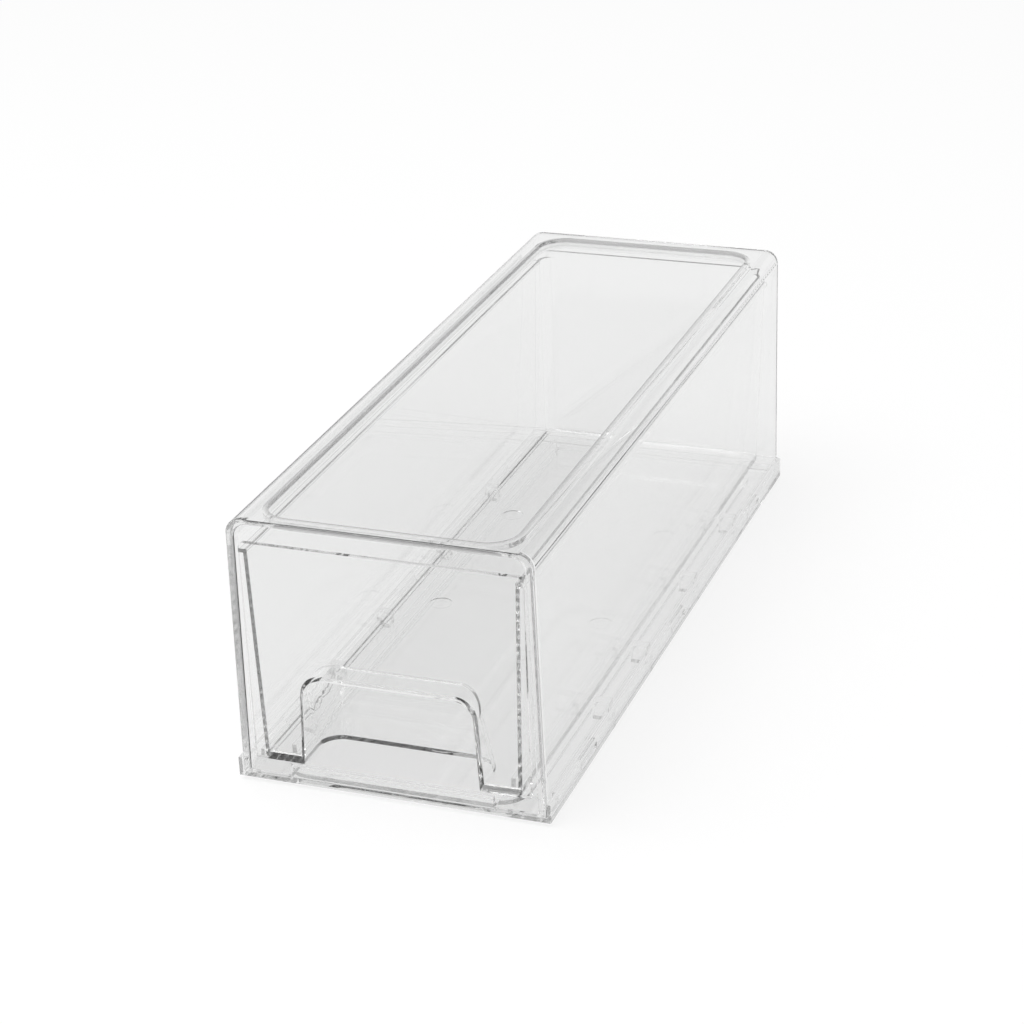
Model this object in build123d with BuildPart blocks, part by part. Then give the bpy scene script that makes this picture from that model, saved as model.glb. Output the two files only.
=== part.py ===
"""Stackable clear drawer box: a shell open at the front and below, a base tray, and a sliding drawer.

Millimetres. X is to the right, Y runs from the open front to the back, Z is up.
The origin is on the surface the box stands on, under the middle of the housing.
"""
from build123d import *
import os

# ---------------------------------------------------------------- driving dimensions
# Housing as a whole
base_width = 130.0             # across the skirt of the base tray
housing_depth = 344.0          # front edge to the top of the back wall
shell_rise = 112.0             # lower edge of the skirt to the flat top rim

# Outer shell
shell_wall = 2.2               # side walls and back wall
shell_side_draft = 1.6         # each side wall leans in this much over the shell's rise
shell_back_lean = 8.0          # the back wall comes forward this much at its foot
top_edge_radius = 6.3          # outside of the long top edges
back_edge_radius = 2.5         # outside edges round the back wall
bead_width = 3.4               # thickened front edge of the side walls
bead_depth = 4.0
bead_edge_radius = 0.8         # rounding of the front edge, under half the top sheet
opening_corner_radius = 5.5

# Stacking recess in the top
top_sheet = 2.0                # thickness of the rim and of the panel in the recess
recess_width = 101.4
recess_depth = 2.0
recess_front_margin = 6.0      # front edge of the shell to the recess
recess_back_margin = 8.6
recess_corner_radius = 12.0

# Base tray
plinth_height = 1.8            # the part that drops into the recess of a box below
stack_clearance = 0.5          # plinth to recess, all round
base_sheet = 2.0               # floor and ledge
skirt_wall = 1.5               # outside the shell's walls
skirt_height = 8.0
curb_wall = 1.5                # inside the shell's walls
curb_height = 6.0              # from the lower edge of the skirt
snap_fit = 0.2                 # shell wall to skirt and to curb
seat_gap = 0.1                 # ledge to the shell's foot
base_corner_radius = 4.0       # back corners of the skirt, seen from above
front_lip_width = 84.0         # plain middle part of the base's front
front_lip_wall = 1.8
front_lip_gap = 1.4            # top of the lip to the drawer's floor
foot_tab_length = 12.0         # front feet of the shell that lie on the ledge
foot_tab_sheet = 1.6
foot_tab_gap = 0.6             # foot to the front lip, the curb and the rails

# Snaps along each side: a lug on the shell in a window of the skirt
snap_count = 3
snap_pitch = 120.0
snap_centre_y = -6.0           # middle snap
snap_window_length = 18.0
snap_window_height = 3.0
snap_window_lift = 2.6         # lower edge of the skirt to the window's lower edge
snap_play = 0.4                # lug to window, lengthwise and upwards
snap_lug_proud = 1.0           # how far a lug stands out from the shell's wall

# Guide blocks on each side of the base tray
guide_front_ends = (-94.0, -43.7, 25.3, 88.3)
guide_length = 5.0
guide_overlap = 0.8            # top of a block above the underside of the drawer
guide_clearance = 0.5          # block to the drawer's side

# Rails under the drawer
rail_spacing = 92.0
rail_width = 2.0
rail_back_margin = 16.0
glide_clearance = 0.3          # rail to the drawer's floor

# Drawer
drawer_lift = 9.2              # lower edge of the skirt to the underside of the drawer
tub_height = 90.0              # underside to the side rims
tub_wall = 1.6
tub_floor = 2.0
tub_side_draft = 2.4           # each side narrows this much from rim to floor
tub_corner_radius = 7.0        # upright back corners
tub_floor_radius = 1.6         # rounding where the floor meets the sides
rim_overhang = 1.5             # side rims beyond the tub's walls
rim_sheet = 1.6
rim_clearance = 1.3            # side rim to the front opening
end_rise = 3.0                 # front plate and back wall above the side rims
front_plate = 2.0
front_plate_setback = 0.5      # behind the front edge of the shell
front_plate_corner_radius = 2.0
back_clearance = 1.0           # tub to the shell's back wall, drawer closed

# Finger notch in the drawer's front, with the hood moulded behind it
notch_foot_width = 73.0
notch_top_width = 69.6
notch_height = 37.7            # above the underside of the drawer
notch_foot_depth = 22.5
notch_top_depth = 11.5
notch_plan_radius = 9.0        # back corners seen from above
notch_top_radius = 8.0         # top corners seen from the front
hood_wall = 1.5

# Round ejector marks in the drawer's floor
mark_radius = 5.0
mark_depth = 0.3
mark_places = ((-35.0, -30.0), (-35.0, 60.0), (35.0, -30.0), (35.0, 60.0))

# ---------------------------------------------------------------- heights and planes that follow
front_y = -housing_depth / 2
skirt_foot_z = plinth_height
ledge_z = skirt_foot_z + base_sheet
shell_foot_z = ledge_z + seat_gap
shell_top_z = skirt_foot_z + shell_rise
recess_z = shell_top_z - recess_depth
shell_foot_half = base_width / 2 - skirt_wall - snap_fit
drawer_z = skirt_foot_z + drawer_lift
rim_z = drawer_z + tub_height
drawer_front_y = front_y + front_plate_setback
cut_through = 5.0              # how far a cutting tool runs past the material

back_face = Plane(
    origin=(0, housing_depth / 2, shell_top_z), x_dir=(1, 0, 0), z_dir=(0, shell_rise, -shell_back_lean)
)


def shell_half_width(z):
    """Half the shell's outside width at height z."""
    return shell_foot_half - shell_side_draft * (z - ledge_z) / shell_rise


def shell_back_y(z):
    """Y of the shell's back face at height z."""
    return housing_depth / 2 - shell_back_lean * (shell_top_z - z) / shell_rise


def tub_half_width(z):
    """Half the tub's outside width at height z."""
    rim_half = shell_half_width(rim_z) - bead_width - rim_clearance - rim_overhang
    return rim_half - tub_side_draft * (rim_z - z) / tub_height


def tub_back_y(z):
    """Y of the outside of the tub's back wall at height z."""
    return shell_back_y(z) - shell_wall - back_clearance


def arch_block(side_inset, top_inset, corner_radius, front, foot_z, back_inset):
    """Block under the shell's outline drawn inwards, from y = front to the leaning back face."""
    top_z = shell_top_z - top_inset
    foot_half = shell_half_width(foot_z) - side_inset
    top_half = shell_half_width(top_z) - side_inset
    with BuildPart() as block:
        with BuildSketch(Plane.XZ.offset(-front)) as outline:
            with BuildLine():
                Polyline(
                    (-foot_half, foot_z), (foot_half, foot_z), (top_half, top_z), (-top_half, top_z), close=True
                )
            make_face()
            fillet(outline.vertices().group_by(Axis.Y)[-1], corner_radius)
        extrude(amount=front - housing_depth)
        split(bisect_by=back_face.offset(-back_inset), keep=Keep.BOTTOM)
    return block.part


def tray_outline(inset, corner_radius, back_edge):
    """Face on XY: the base tray's outline drawn inwards, square at the front and rounded behind."""
    length = back_edge - inset - front_y
    with BuildSketch() as outline:
        with Locations((0, front_y + length / 2)):
            Rectangle(base_width - 2 * inset, length)
        fillet(outline.vertices().group_by(Axis.Y)[-1], corner_radius)
    return outline.sketch


def tub_section(z, inset, front):
    """Horizontal section of the tub at height z, drawn inwards, with rounded back corners."""
    half = tub_half_width(z) - inset
    back = tub_back_y(z) - inset
    with BuildSketch(Plane.XY.offset(z)) as section:
        with BuildLine():
            Polyline((-half, front), (half, front), (half, back), (-half, back), close=True)
        make_face()
        fillet(section.vertices().group_by(Axis.Y)[-1], tub_corner_radius - inset)
    return section.sketch


def notch_block(grow, front, foot_z):
    """Space of the finger notch and its hood, from y = front and z = foot_z, enlarged all round by `grow`."""
    roof_z = drawer_z + notch_height
    widening = (notch_foot_width - notch_top_width) / notch_height
    deepening = (notch_foot_depth - notch_top_depth) / notch_height

    def half_width(z):
        return (notch_top_width + widening * (roof_z - z)) / 2 + grow

    def back_y(z):
        return drawer_front_y + notch_top_depth + deepening * (roof_z - z) + grow

    with BuildPart() as block:
        # the outline seen from the front, drawn backwards
        with BuildSketch(Plane.XZ.offset(-front)) as outline:
            with BuildLine():
                Polyline(
                    (-half_width(foot_z), foot_z),
                    (half_width(foot_z), foot_z),
                    (half_width(roof_z + grow), roof_z + grow),
                    (-half_width(roof_z + grow), roof_z + grow),
                    close=True,
                )
            make_face()
            fillet(outline.vertices().group_by(Axis.Y)[-1], notch_top_radius + grow)
        extrude(amount=front - back_y(foot_z))

        # the leaning back with its rounded corners
        for z in (foot_z, roof_z + cut_through):
            with BuildSketch(Plane.XY.offset(z)) as section:
                with Locations((0, (front + back_y(z)) / 2)):
                    Rectangle(2 * half_width(z), back_y(z) - front)
                fillet(section.vertices().group_by(Axis.Y)[-1], notch_plan_radius + grow)
        loft(ruled=True, mode=Mode.INTERSECT)
    return block.part


# ---------------------------------------------------------------- outer shell
below = ledge_z - cut_through
recess_length = housing_depth - recess_front_margin - recess_back_margin
recess_centre_y = (recess_front_margin - recess_back_margin) / 2
snap_places = [snap_centre_y + snap_pitch * (i - (snap_count - 1) / 2) for i in range(snap_count)]
snap_z = skirt_foot_z + snap_window_lift + snap_window_height / 2
snap_wall_half = shell_half_width(snap_z)

with BuildPart() as outer_shell:
    add(arch_block(0, 0, top_edge_radius, front_y, shell_foot_z, 0))
    fillet(outer_shell.faces().sort_by(Axis.Y)[-1].edges().sort_by(Axis.Z)[1:], back_edge_radius)

    # the opening through the front bead, then the wider hollow behind it
    add(
        arch_block(bead_width, top_sheet, opening_corner_radius, front_y - cut_through, below, shell_wall),
        mode=Mode.SUBTRACT,
    )
    add(
        arch_block(shell_wall, top_sheet, top_edge_radius - shell_wall, front_y + bead_depth, below, shell_wall),
        mode=Mode.SUBTRACT,
    )
    fillet(outer_shell.faces().sort_by(Axis.Y)[0].edges().sort_by(Axis.Z)[2:], bead_edge_radius)

    # the panel sunk into the top hangs from the rim as a shallow pan
    with BuildSketch(Plane.XY.offset(recess_z - top_sheet)):
        with Locations((0, recess_centre_y)):
            RectangleRounded(
                recess_width + 2 * top_sheet, recess_length + 2 * top_sheet, recess_corner_radius + top_sheet
            )
    extrude(amount=recess_depth)
    with BuildSketch(Plane.XY.offset(recess_z)):
        with Locations((0, recess_centre_y)):
            RectangleRounded(recess_width, recess_length, recess_corner_radius)
    extrude(amount=recess_depth, mode=Mode.SUBTRACT)

    # two flat feet turned inwards at the front, which lie on the base tray
    foot_inner = front_lip_width / 2 + foot_tab_gap
    foot_outer = shell_half_width(shell_foot_z) - shell_wall
    with BuildSketch(Plane.XY.offset(shell_foot_z)):
        for side in (-1, 1):
            with Locations((side * (foot_inner + foot_outer) / 2, front_y + foot_tab_length / 2)):
                Rectangle(foot_outer - foot_inner, foot_tab_length)
    extrude(amount=foot_tab_sheet)

    # snap lugs low on the outside of the side walls
    with BuildSketch(Plane.XY.offset(snap_z)):
        for side in (-1, 1):
            with Locations(*[(side * snap_wall_half, y) for y in snap_places]):
                Rectangle(2 * snap_lug_proud, snap_window_length - 2 * snap_play)
    extrude(amount=snap_window_height / 2 - snap_play, both=True)
outer_shell.part.label = "outer_shell"

# ---------------------------------------------------------------- base tray
skirt_top_z = skirt_foot_z + skirt_height
curb_top_z = skirt_foot_z + curb_height
base_back_y = shell_back_y(skirt_top_z) + snap_fit + skirt_wall
slot_outer = skirt_wall
slot_inner = skirt_wall + 2 * snap_fit + shell_wall
slot_back_inner_y = shell_back_y(ledge_z) - shell_wall - snap_fit
plinth_width = recess_width - 2 * stack_clearance
plinth_length = recess_length - 2 * stack_clearance
guide_top_z = drawer_z + guide_overlap
guide_inner = tub_half_width(guide_top_z) + guide_clearance
curb_front_y = front_y + foot_tab_length + foot_tab_gap
rail_length = base_back_y - rail_back_margin - curb_front_y

with BuildPart() as base_tray:
    # ledge all round, plinth below it and the sunken floor inside
    with BuildSketch(Plane.XY.offset(skirt_foot_z)):
        add(tray_outline(0, base_corner_radius, base_back_y))
    extrude(amount=base_sheet)
    with BuildSketch():
        with Locations((0, recess_centre_y)):
            RectangleRounded(plinth_width, plinth_length, recess_corner_radius - stack_clearance)
    extrude(amount=plinth_height)
    with BuildSketch(Plane.XY.offset(base_sheet)):
        with Locations((0, recess_centre_y)):
            RectangleRounded(
                plinth_width - 2 * base_sheet,
                plinth_length - 2 * base_sheet,
                recess_corner_radius - stack_clearance - base_sheet,
            )
    extrude(amount=plinth_height, mode=Mode.SUBTRACT)

    # skirt outside the shell's walls
    with BuildSketch(Plane.XY.offset(ledge_z)):
        add(tray_outline(0, base_corner_radius, base_back_y))
        add(tray_outline(slot_outer, base_corner_radius - skirt_wall, base_back_y), mode=Mode.SUBTRACT)
    extrude(amount=skirt_top_z - ledge_z)

    # curb inside them
    with BuildSketch(Plane.XY.offset(ledge_z)):
        add(tray_outline(slot_inner, curb_wall, slot_back_inner_y + slot_inner))
        add(tray_outline(slot_inner + curb_wall, curb_wall / 2, slot_back_inner_y + slot_inner), mode=Mode.SUBTRACT)
        with Locations((0, front_y)):
            Rectangle(base_width, 2 * (curb_front_y - front_y), mode=Mode.SUBTRACT)
    extrude(amount=curb_top_z - ledge_z)

    # front lip between the feet of the shell
    with BuildSketch(Plane.XY.offset(ledge_z)):
        with Locations((0, front_y + front_lip_wall / 2)):
            Rectangle(front_lip_width, front_lip_wall)
    extrude(amount=drawer_z - front_lip_gap - ledge_z)

    # guide blocks that stand on the ledge between the curb and the drawer
    guide_outer = base_width / 2 - slot_inner
    with BuildSketch(Plane.XY.offset(ledge_z)):
        for side in (-1, 1):
            with Locations(
                *[(side * (guide_inner + guide_outer) / 2, y + guide_length / 2) for y in guide_front_ends]
            ):
                Rectangle(guide_outer - guide_inner, guide_length)
    extrude(amount=guide_top_z - ledge_z)

    # rails that carry the drawer
    with BuildSketch(Plane.XY.offset(base_sheet)):
        with GridLocations(rail_spacing, 0, 2, 1):
            with Locations((0, curb_front_y + rail_length / 2)):
                Rectangle(rail_width, rail_length)
    extrude(amount=drawer_z - glide_clearance - base_sheet)

    # snap windows through the skirt
    for side in (-1, 1):
        with BuildSketch(Plane.YZ.offset(side * (base_width - skirt_wall) / 2)):
            with Locations(*[(y, snap_z) for y in snap_places]):
                Rectangle(snap_window_length, snap_window_height)
    extrude(amount=skirt_wall, both=True, mode=Mode.SUBTRACT)
base_tray.part.label = "base_tray"

# ---------------------------------------------------------------- drawer
plate_half = tub_half_width(rim_z) + rim_overhang
end_top_z = rim_z + end_rise
tub_front_y = drawer_front_y + front_plate
tub_floor_z = drawer_z + tub_floor

with BuildPart() as tub_hollow:
    loft(
        [tub_section(z, tub_wall, tub_front_y) for z in (tub_floor_z, end_top_z + cut_through)],
        ruled=True,
    )
    fillet(tub_hollow.faces().sort_by(Axis.Z)[0].edges(), tub_floor_radius)

with BuildPart() as drawer:
    # tapered tub, its side walls lower than its back wall
    loft([tub_section(z, 0, drawer_front_y) for z in (drawer_z, end_top_z)], ruled=True)
    fillet(drawer.faces().sort_by(Axis.Z)[0].edges().sort_by(Axis.Y)[1:], tub_floor_radius)
    add(tub_hollow.part, mode=Mode.SUBTRACT)
    side_length = tub_back_y(rim_z) - tub_wall - tub_front_y
    with BuildSketch(Plane.XY.offset(rim_z)):
        with Locations((0, tub_front_y + side_length / 2)):
            Rectangle(base_width, side_length)
    extrude(amount=end_rise + cut_through, mode=Mode.SUBTRACT)

    # side rims
    rim_inner = tub_half_width(rim_z) - tub_wall / 2
    rim_length = tub_back_y(rim_z) - tub_corner_radius - drawer_front_y
    with BuildSketch(Plane.XY.offset(rim_z - rim_sheet)):
        for side in (-1, 1):
            with Locations((side * (rim_inner + plate_half) / 2, drawer_front_y + rim_length / 2)):
                Rectangle(plate_half - rim_inner, rim_length)
    extrude(amount=rim_sheet)

    # front plate, a little wider than the tub
    with BuildSketch(Plane.XZ.offset(-tub_front_y)) as plate:
        with Locations((0, (drawer_z + end_top_z) / 2)):
            Rectangle(2 * plate_half, end_top_z - drawer_z)
        fillet(plate.vertices().group_by(Axis.Y)[-1], front_plate_corner_radius)
    extrude(amount=front_plate)

    # hood behind the finger notch, open to the front and below
    add(notch_block(hood_wall, drawer_front_y, drawer_z))
    add(notch_block(0, drawer_front_y - cut_through, drawer_z - cut_through), mode=Mode.SUBTRACT)

    # ejector marks
    with BuildSketch(Plane.XY.offset(tub_floor_z - mark_depth)):
        with Locations(*mark_places):
            Circle(mark_radius)
    extrude(amount=mark_depth, mode=Mode.SUBTRACT)
drawer.part.label = "drawer"

os.makedirs("parts", exist_ok=True)
for piece in (outer_shell, base_tray, drawer):
    export_step(piece.part, f"parts/{piece.part.label}.step")
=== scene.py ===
"""Dresses the stackable drawer box in clear plastic and sets a white table, light and camera.

It is laid out as an add-on: settings, one operator for each moulding and one for the stage, and a
panel in the sidebar. Metres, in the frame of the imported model: X to the right, Y to the back, Z up.
"""

import math

import bpy
from bpy.props import FloatProperty, FloatVectorProperty, IntProperty, PointerProperty
from mathutils import Matrix, Vector

bl_info = {
    "name": "Stackable Drawer Box",
    "version": (1, 0, 0),
    "blender": (4, 5, 0),
    "location": "3D View > Sidebar > Drawer Box",
    "description": "Clear plastic, table, light and camera for a stackable drawer box",
    "category": "Object",
}

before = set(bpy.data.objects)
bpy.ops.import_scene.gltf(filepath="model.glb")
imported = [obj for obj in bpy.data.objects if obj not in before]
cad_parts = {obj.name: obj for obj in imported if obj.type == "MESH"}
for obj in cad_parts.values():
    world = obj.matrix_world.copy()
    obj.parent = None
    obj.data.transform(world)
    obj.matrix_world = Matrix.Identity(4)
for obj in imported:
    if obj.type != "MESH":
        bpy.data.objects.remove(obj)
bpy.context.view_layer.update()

# The stacking recess in the shell's top, in metres, which also bounds the painted shade along its wall
# and edge
RECESS_HALF_WIDTH = 0.0507
RECESS_FRONT = -0.166
RECESS_BACK = 0.1632
RECESS_RADIUS = 0.012
RECESS_FLOOR = 0.1118
FLOOR_MARGIN = 0.00005                      # keeps the painted shade off the recess's flat floor
PAINTED_SHADE_STOPS = ((0.1, 1.0), (1.0, 0.0))       # the painted shade's fade over the width of the recess's edge

# Haze on the plastic
SMUDGE_SCALE = 28.0                         # smudges to the metre
SMUDGE_DETAIL = 5.0
SMUDGE_ROUGHNESS = 0.6
SMUDGE_SEED = 3.0                           # added to the moulding's own seed
SMUDGE_STOPS = ((0.52, 0.0), (0.75, 1.0))
RIPPLE_DETAIL = 1.0

# Room, by the Y and the Z of the direction looked in
BEHIND_STOPS = ((0.0, 0.0), (0.5, 1.0))
SWEEP_FADES, SWEEP_ENDS = 0.32, 0.62
OVERHEAD_STARTS, OVERHEAD_FULL = 0.6, 0.95

# Camera body
SENSOR_WIDTH = 36.0                         # mm
NEAR_CLIP = 0.01                            # m

OPAQUE = 1.0
WHITE = (1.0, 1.0, 1.0, OPAQUE)
BLACK = (0.0, 0.0, 0.0, OPAQUE)

# Sockets of a Mix node set to colours, and of a Mix Shader node, that share their names
MIX_FACTOR, MIX_FIRST, MIX_SECOND, MIX_RESULT = 0, 6, 7, 2
SHADER_FIRST, SHADER_SECOND = 1, 2


# ---------------------------------------------------------------- shader nodes
class Wire:
    """An output socket that can stand in an expression; each operation adds a Math node."""

    def __init__(self, graph, socket):
        self.graph = graph
        self.socket = socket

    def math(self, operation, *values):
        """A Math node of that operation on these values."""
        return self.graph.add("ShaderNodeMath", {"operation": operation}, dict(enumerate(values)))

    def __add__(self, other):
        return self.math("ADD", self, other)

    def __sub__(self, other):
        return self.math("SUBTRACT", self, other)

    def __rsub__(self, other):
        return self.math("SUBTRACT", other, self)

    def __mul__(self, other):
        return self.math("MULTIPLY", self, other)

    __radd__ = __add__
    __rmul__ = __mul__

    def __abs__(self):
        return self.math("ABSOLUTE", self)

    def root(self):
        """Its square root."""
        return self.math("SQRT", self)

    def top(self, other):
        """The larger of the two."""
        return self.math("MAXIMUM", self, other)

    def above(self, other):
        """1 where it is the larger, 0 elsewhere."""
        return self.math("GREATER_THAN", self, other)


class Graph:
    """The node tree of a material or of the world, emptied and built anew."""

    def __init__(self, owner):
        owner.use_nodes = True
        self.tree = owner.node_tree
        self.tree.nodes.clear()

    def add(self, kind, settings=None, inputs=None, output=0):
        """A node of this kind with its settings, then its sockets; gives the wire of one output."""
        node = self.tree.nodes.new(kind)
        for name, value in (settings or {}).items():
            if name == "stops":
                ramp = node.color_ramp
                while len(ramp.elements) < len(value):
                    ramp.elements.new(1.0)
                for element, (place, level) in zip(ramp.elements, value):
                    element.position = place
                    element.color = (level, level, level, OPAQUE)
            else:
                setattr(node, name, value)
        for name, value in (inputs or {}).items():
            if isinstance(value, Wire):
                self.tree.links.new(value.socket, node.inputs[name])
            else:
                node.inputs[name].default_value = value
        return Wire(self, node.outputs[output]) if node.outputs else None


def with_alpha(colour):
    """The colour as a socket takes it."""
    return (*colour, OPAQUE)


# ---------------------------------------------------------------- settings
class PlasticSettings(bpy.types.PropertyGroup):
    """The clear plastic that all three mouldings are made of."""

    tint: FloatVectorProperty(
        name="Tint", description="Colour that light keeps through one wall",
        subtype="COLOR", size=3, min=0.0, max=1.0, default=(0.995, 0.996, 0.995),
    )
    shell_clearness: FloatProperty(
        name="Shell clearness",
        description="Length of the shell's plastic that takes away two thirds of the light",
        unit="LENGTH", min=0.01, max=10.0, default=5.0,
    )
    base_clearness: FloatProperty(
        name="Base clearness", description="The same length for the base tray",
        unit="LENGTH", min=0.01, max=10.0, default=0.8,
    )
    drawer_clearness: FloatProperty(
        name="Drawer clearness", description="The same length for the drawer",
        unit="LENGTH", min=0.01, max=10.0, default=0.45,
    )
    ior: FloatProperty(
        name="IOR", description="Index of refraction", min=1.3, max=1.8, default=1.58,
    )
    polish: FloatProperty(
        name="Polish", description="Roughness of the clean surface",
        min=0.0, max=1.0, default=0.005,
    )
    haze: FloatProperty(
        name="Haze", description="Roughness added where hands have rubbed it",
        min=0.0, max=1.0, default=0.03,
    )
    ripple_size: FloatProperty(
        name="Ripple size", description="Length of the flow ripples in the moulded walls",
        unit="LENGTH", min=0.001, max=0.5, default=0.045,
    )
    ripple_height: FloatProperty(
        name="Ripple height", description="Height of the flow ripples",
        unit="LENGTH", min=0.0, max=0.001, default=0.00001,
    )
    # Painted shade: a dark grey laid into the shell's base colour along the recess's wall and edge, in
    # place of the shade that bent light gives them
    recess_painted_shade: FloatVectorProperty(
        name="Recess painted shade", description="Tint of the stacking recess's wall and edge",
        subtype="COLOR", size=3, min=0.0, max=1.0, default=(0.35, 0.35, 0.35),
    )
    # Width of the painted shade's band round the recess
    recess_shade_width: FloatProperty(
        name="Recess edge", description="Width of the rim that takes on the recess's tint",
        unit="LENGTH", min=0.0001, max=0.01, default=0.002,
    )


class StudioSettings(bpy.types.PropertyGroup):
    """The white table and the light round it."""

    table_size: FloatProperty(
        name="Table size", description="Side of the square table",
        unit="LENGTH", min=1.0, default=8.0,
    )
    table_gap: FloatProperty(
        name="Table gap", description="Air between the table and the box's flat foot",
        unit="LENGTH", min=0.0, max=0.001, default=0.0001,
    )
    table_colour: FloatVectorProperty(
        name="Table colour", description="Colour of the table's surface",
        subtype="COLOR", size=3, min=0.0, max=1.0, default=(0.9, 0.9, 0.9),
    )
    shadow: FloatProperty(
        name="Shadow", description="Share of the table's brightness that the box can shade",
        subtype="FACTOR", min=0.0, max=1.0, default=0.15,
    )
    backing: FloatProperty(
        name="Backing", description="Brightness of the table as the clear plastic shows it",
        subtype="FACTOR", min=0.0, max=1.0, default=0.87,
    )
    backdrop: FloatProperty(
        name="Backdrop", description="Brightness of the white sweep behind the box",
        min=0.0, max=2.0, default=0.88,
    )
    room: FloatProperty(
        name="Room", description="Brightness of the room round it", min=0.0, max=2.0, default=0.4,
    )
    zenith: FloatProperty(
        name="Zenith", description="Brightness overhead", min=0.0, max=2.0, default=0.95,
    )
    lamp_power: FloatProperty(
        name="Lamp power", description="Power of the large soft lamp",
        subtype="POWER", min=0.0, default=24.0,
    )
    lamp_size: FloatProperty(
        name="Lamp size", description="Side of the large soft lamp",
        unit="LENGTH", min=0.1, default=1.4,
    )
    lamp_place: FloatVectorProperty(
        name="Lamp place", description="Middle of the large soft lamp",
        subtype="XYZ", unit="LENGTH", size=3, default=(-0.5, -0.4, 1.6),
    )
    lamp_aim: FloatVectorProperty(
        name="Lamp aim", description="Point that the large soft lamp faces",
        subtype="XYZ", unit="LENGTH", size=3, default=(0.0, 0.0, 0.05),
    )
    bounces: IntProperty(
        name="Bounces", description="How many surfaces light may cross",
        min=4, max=256, default=128,
    )


class CameraSettings(bpy.types.PropertyGroup):
    """Where the camera stands and what it looks at."""

    azimuth: FloatProperty(
        name="Azimuth", description="Turn to the right of the box's front", subtype="ANGLE",
        default=math.radians(21.197),
    )
    elevation: FloatProperty(
        name="Elevation", description="Height above the horizon", subtype="ANGLE",
        default=math.radians(24.758),
    )
    roll: FloatProperty(
        name="Roll", description="Tilt of the picture", subtype="ANGLE",
        default=math.radians(-2.471),
    )
    distance: FloatProperty(
        name="Distance", description="Camera to its target", unit="LENGTH",
        default=1.029144,
    )
    target: FloatVectorProperty(
        name="Target", description="Point in the middle of the picture",
        subtype="XYZ", unit="LENGTH", size=3, default=(0.029694, -0.107622, 0.098714),
    )
    lens: FloatProperty(
        name="Lens", description="Focal length on a 36 mm sensor", subtype="DISTANCE_CAMERA",
        default=93.2957,
    )


# ---------------------------------------------------------------- materials
def tint_with_painted_recess_shade(graph, settings):
    """The tint, with painted shade along the recess's wall and edge: a dark band standing in for the
    dark outline that the refracting wall gives the recess.
    """
    place = graph.add("ShaderNodeTexCoord", output="Object")
    x, y, z = (
        graph.add("ShaderNodeSeparateXYZ", None, {"Vector": place}, output=axis) for axis in "XYZ"
    )
    middle = (RECESS_FRONT + RECESS_BACK) / 2
    half_length = (RECESS_BACK - RECESS_FRONT) / 2
    beside = (abs(x) - (RECESS_HALF_WIDTH - RECESS_RADIUS)).top(0.0)
    beyond = (abs(y - middle) - (half_length - RECESS_RADIUS)).top(0.0)
    outside = (beside * beside + beyond * beyond).root() - RECESS_RADIUS
    # mask of the painted shade: 1 on the recess's wall, fading to 0 over the edge's width
    edge = graph.add(
        "ShaderNodeValToRGB", {"stops": PAINTED_SHADE_STOPS}, {"Fac": outside * (1.0 / settings.recess_shade_width)},
    )
    tint_and_painted_shade = {MIX_FIRST: with_alpha(settings.tint), MIX_SECOND: with_alpha(settings.recess_painted_shade)}
    # mixes the painted shade into the tint wherever the surface stands above the recess's floor
    return graph.add(
        "ShaderNodeMix", {"data_type": "RGBA"},
        {MIX_FACTOR: edge * z.above(RECESS_FLOOR + FLOOR_MARGIN), **tint_and_painted_shade}, output=MIX_RESULT,
    )


def clear_plastic(name, settings, clearness, seed, has_painted_recess_shade):
    """Clear moulded plastic: faint flow ripples, with a thin haze where it has been handled."""
    material = bpy.data.materials.new(name)
    graph = Graph(material)
    place = graph.add("ShaderNodeTexCoord", output="Object")
    flow = graph.add(
        "ShaderNodeTexNoise", {"noise_dimensions": "4D"},
        {
            "Vector": place,
            "W": seed,
            "Scale": 1.0 / settings.ripple_size,
            "Detail": RIPPLE_DETAIL,
        },
    )
    smudge = graph.add(
        "ShaderNodeTexNoise", {"noise_dimensions": "4D"},
        {
            "Vector": place,
            "W": seed + SMUDGE_SEED,
            "Scale": SMUDGE_SCALE,
            "Detail": SMUDGE_DETAIL,
            "Roughness": SMUDGE_ROUGHNESS,
        },
    )
    smeared = graph.add("ShaderNodeValToRGB", {"stops": SMUDGE_STOPS}, {"Fac": smudge})
    ripple = graph.add(
        "ShaderNodeBump", None,
        {"Strength": 1.0, "Distance": settings.ripple_height, "Height": flow},
    )
    # on the shell, the base colour carries painted shade round the recess's wall and edge
    colour = tint_with_painted_recess_shade(graph, settings) if has_painted_recess_shade else with_alpha(settings.tint)
    surface = graph.add(
        "ShaderNodeBsdfPrincipled", None,
        {
            "Base Color": colour,
            "Roughness": settings.polish + smeared * settings.haze,
            "IOR": settings.ior,
            "Transmission Weight": 1.0,
            "Normal": ripple,
        },
    )
    inside = graph.add(
        "ShaderNodeVolumeAbsorption", None, {"Color": BLACK, "Density": 1.0 / clearness},
    )
    graph.add("ShaderNodeOutputMaterial", None, {"Surface": surface, "Volume": inside})
    return material


def finish_node(node, name, settings, clearness, seed, has_painted_recess_shade=False):
    """Gives a CAD node its own clear plastic, in every material slot."""
    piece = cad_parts[node]
    if not piece.material_slots:
        raise RuntimeError(f"{node} has no material slot")
    plastic = clear_plastic(name, settings, clearness, seed, has_painted_recess_shade)
    for slot in piece.material_slots:
        slot.material = plastic


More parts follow.
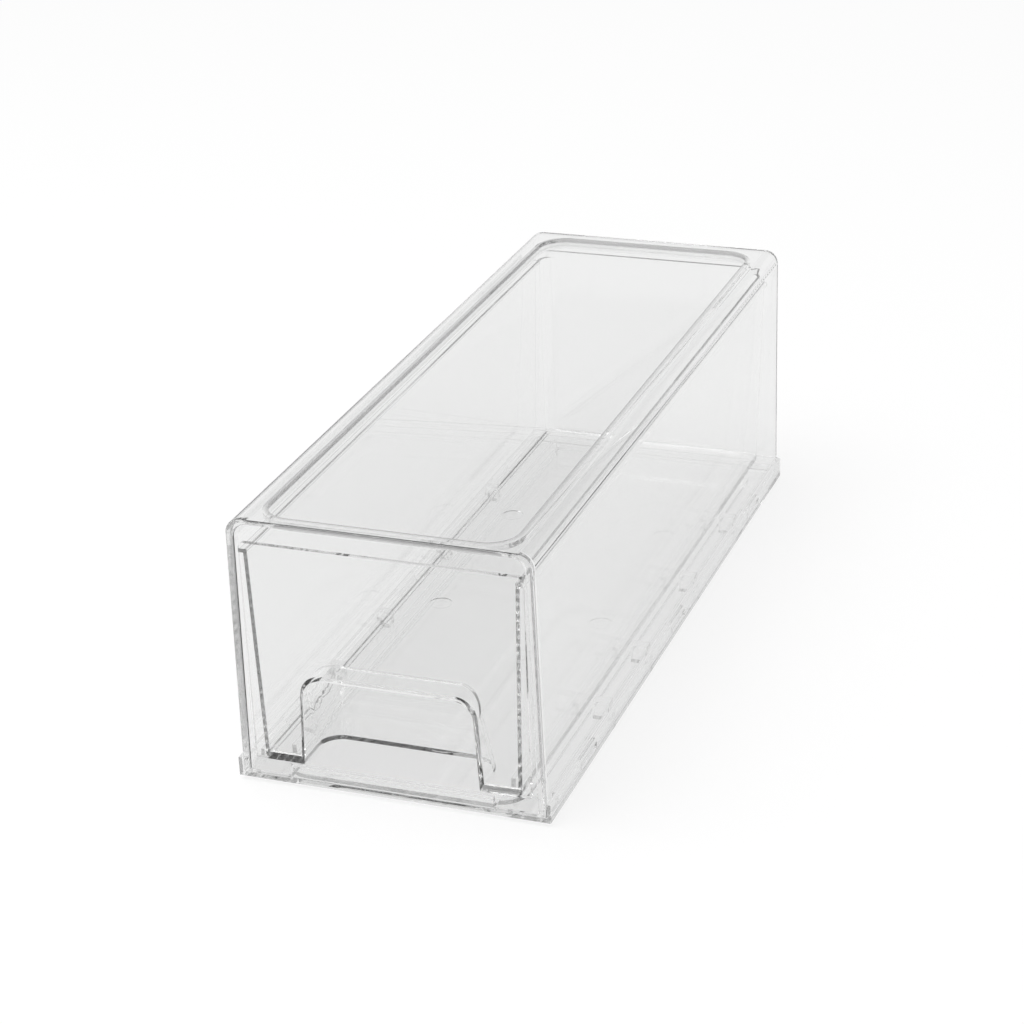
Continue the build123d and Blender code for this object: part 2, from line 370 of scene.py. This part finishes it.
def table_material(studio):
    """White table: part of its brightness is its own for what the eye, gloss and clear plastic see."""
    material = bpy.data.materials.new("white_table")
    graph = Graph(material)
    eye, gloss, through = (
        graph.add("ShaderNodeLightPath", output=f"Is {kind} Ray")
        for kind in ("Camera", "Glossy", "Transmission")
    )
    lit = graph.add("ShaderNodeBsdfDiffuse", None, {"Color": with_alpha(studio.table_colour)})
    white = graph.add(
        "ShaderNodeEmission", None, {"Color": WHITE, "Strength": eye.top(studio.backing)},
    )
    own_share = eye.top(gloss).top(through) * (1.0 - studio.shadow)
    surface = graph.add(
        "ShaderNodeMixShader", None, {"Fac": own_share, SHADER_FIRST: lit, SHADER_SECOND: white},
    )
    graph.add("ShaderNodeOutputMaterial", None, {"Surface": surface})
    return material


# ---------------------------------------------------------------- operators
class DRAWERBOX_OT_shell(bpy.types.Operator):
    """Gives the outer shell its clear plastic"""

    bl_idname = "drawerbox.shell"
    bl_label = "Outer Shell"

    def execute(self, context):
        plastic = context.scene.drawerbox_plastic
        # the shell's plastic carries painted shade round the stacking recess
        finish_node(
            "outer_shell", "shell_clear_plastic", plastic, plastic.shell_clearness,
            seed=1.0, has_painted_recess_shade=True,
        )
        return {"FINISHED"}


class DRAWERBOX_OT_base(bpy.types.Operator):
    """Gives the base tray its clear plastic"""

    bl_idname = "drawerbox.base"
    bl_label = "Base Tray"

    def execute(self, context):
        plastic = context.scene.drawerbox_plastic
        finish_node(
            "base_tray", "base_clear_plastic", plastic, plastic.base_clearness, seed=11.0,
        )
        return {"FINISHED"}


class DRAWERBOX_OT_drawer(bpy.types.Operator):
    """Gives the drawer its clear plastic"""

    bl_idname = "drawerbox.drawer"
    bl_label = "Drawer"

    def execute(self, context):
        plastic = context.scene.drawerbox_plastic
        finish_node(
            "drawer", "drawer_clear_plastic", plastic, plastic.drawer_clearness, seed=21.0,
        )
        return {"FINISHED"}


class DRAWERBOX_OT_stage(bpy.types.Operator):
    """Adds the white table, the soft light and the camera"""

    bl_idname = "drawerbox.stage"
    bl_label = "Stage"

    def execute(self, context):
        scene = context.scene
        studio = scene.drawerbox_studio
        self.table(scene, studio)
        self.room(scene, studio)
        self.lamp(scene, studio)
        self.camera(scene, scene.drawerbox_camera)
        scene.view_settings.view_transform = "Standard"
        scene.cycles.max_bounces = studio.bounces
        scene.cycles.transmission_bounces = studio.bounces
        scene.cycles.glossy_bounces = studio.bounces
        return {"FINISHED"}

    def table(self, scene, studio):
        """A square table top under the box."""
        half = studio.table_size / 2
        outline = ((-half, -half), (half, -half), (half, half), (-half, half))
        mesh = bpy.data.meshes.new("table")
        mesh.from_pydata([(x, y, -studio.table_gap) for x, y in outline], [], [(0, 1, 2, 3)])
        mesh.materials.append(table_material(studio))
        table = bpy.data.objects.new("table", mesh)
        scene.collection.objects.link(table)

    def room(self, scene, studio):
        """A white sweep behind the box, a darker room round it and brightness overhead."""
        scene.world = bpy.data.worlds.new("room")
        graph = Graph(scene.world)
        direction = graph.add("ShaderNodeTexCoord", output="Generated")
        back, height = (
            graph.add("ShaderNodeSeparateXYZ", None, {"Vector": direction}, output=axis)
            for axis in "YZ"
        )
        behind = graph.add("ShaderNodeValToRGB", {"stops": BEHIND_STOPS}, {"Fac": back})
        sweep_stops = ((SWEEP_FADES, studio.backdrop - studio.room), (SWEEP_ENDS, 0.0))
        sweep = graph.add("ShaderNodeValToRGB", {"stops": sweep_stops}, {"Fac": height})
        overhead_stops = ((OVERHEAD_STARTS, 0.0), (OVERHEAD_FULL, studio.zenith))
        overhead = graph.add("ShaderNodeValToRGB", {"stops": overhead_stops}, {"Fac": height})
        eye = graph.add("ShaderNodeLightPath", output="Is Camera Ray")
        level = (behind * sweep + studio.room).top(overhead).top(eye)
        background = graph.add("ShaderNodeBackground", None, {"Color": WHITE, "Strength": level})
        graph.add("ShaderNodeOutputWorld", None, {"Surface": background})

    def lamp(self, scene, studio):
        """One large soft lamp above, a little to the left and in front, that mirrors don't show."""
        light = bpy.data.lights.new("soft_lamp", "AREA")
        light.shape = "SQUARE"
        light.size = studio.lamp_size
        light.energy = studio.lamp_power
        lamp = bpy.data.objects.new("soft_lamp", light)
        lamp.location = studio.lamp_place
        lamp.visible_glossy = False
        facing = Vector(studio.lamp_aim) - lamp.location
        lamp.rotation_euler = facing.to_track_quat("-Z", "Y").to_euler()
        scene.collection.objects.link(lamp)

    def camera(self, scene, view):
        """The camera at the photograph's place and angle."""
        across, up = math.cos(view.elevation), math.sin(view.elevation)
        back = Vector((math.sin(view.azimuth) * across, -math.cos(view.azimuth) * across, up))
        right = Vector((0, 0, 1)).cross(back).normalized()
        above = back.cross(right)
        tilted_right = right * math.cos(view.roll) + above * math.sin(view.roll)
        tilted_up = above * math.cos(view.roll) - right * math.sin(view.roll)
        place = Vector(view.target) + back * view.distance
        lens = bpy.data.cameras.new("camera")
        lens.lens = view.lens
        lens.sensor_width = SENSOR_WIDTH
        lens.sensor_fit = "HORIZONTAL"
        lens.clip_start = NEAR_CLIP
        camera = bpy.data.objects.new("camera", lens)
        turn = Matrix((tilted_right, tilted_up, back)).transposed().to_4x4()
        camera.matrix_world = Matrix.Translation(place) @ turn
        scene.collection.objects.link(camera)
        scene.camera = camera


# ---------------------------------------------------------------- sidebar
OPERATORS = (DRAWERBOX_OT_shell, DRAWERBOX_OT_base, DRAWERBOX_OT_drawer, DRAWERBOX_OT_stage)
GROUPS = (
    ("drawerbox_plastic", PlasticSettings),
    ("drawerbox_studio", StudioSettings),
    ("drawerbox_camera", CameraSettings),
)


class DRAWERBOX_PT_panel(bpy.types.Panel):
    """The box's settings and the steps that dress it"""

    bl_idname = "DRAWERBOX_PT_panel"
    bl_label = "Drawer Box"
    bl_space_type = "VIEW_3D"
    bl_region_type = "UI"
    bl_category = "Drawer Box"

    def draw(self, context):
        for attribute, group in GROUPS:
            box = self.layout.box()
            for name in group.__annotations__:
                box.prop(getattr(context.scene, attribute), name)
        for operator in OPERATORS:
            self.layout.operator(operator.bl_idname)


def register():
    for attribute, group in GROUPS:
        bpy.utils.register_class(group)
        setattr(bpy.types.Scene, attribute, PointerProperty(type=group))
    for thing in (*OPERATORS, DRAWERBOX_PT_panel):
        bpy.utils.register_class(thing)


def unregister():
    for thing in (DRAWERBOX_PT_panel, *reversed(OPERATORS)):
        bpy.utils.unregister_class(thing)
    for attribute, group in reversed(GROUPS):
        delattr(bpy.types.Scene, attribute)
        bpy.utils.unregister_class(group)


def main():
    """Dresses the box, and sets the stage."""
    register()
    bpy.ops.drawerbox.shell()
    bpy.ops.drawerbox.base()
    bpy.ops.drawerbox.drawer()
    bpy.ops.drawerbox.stage()


if __name__ == "__main__":
    main()
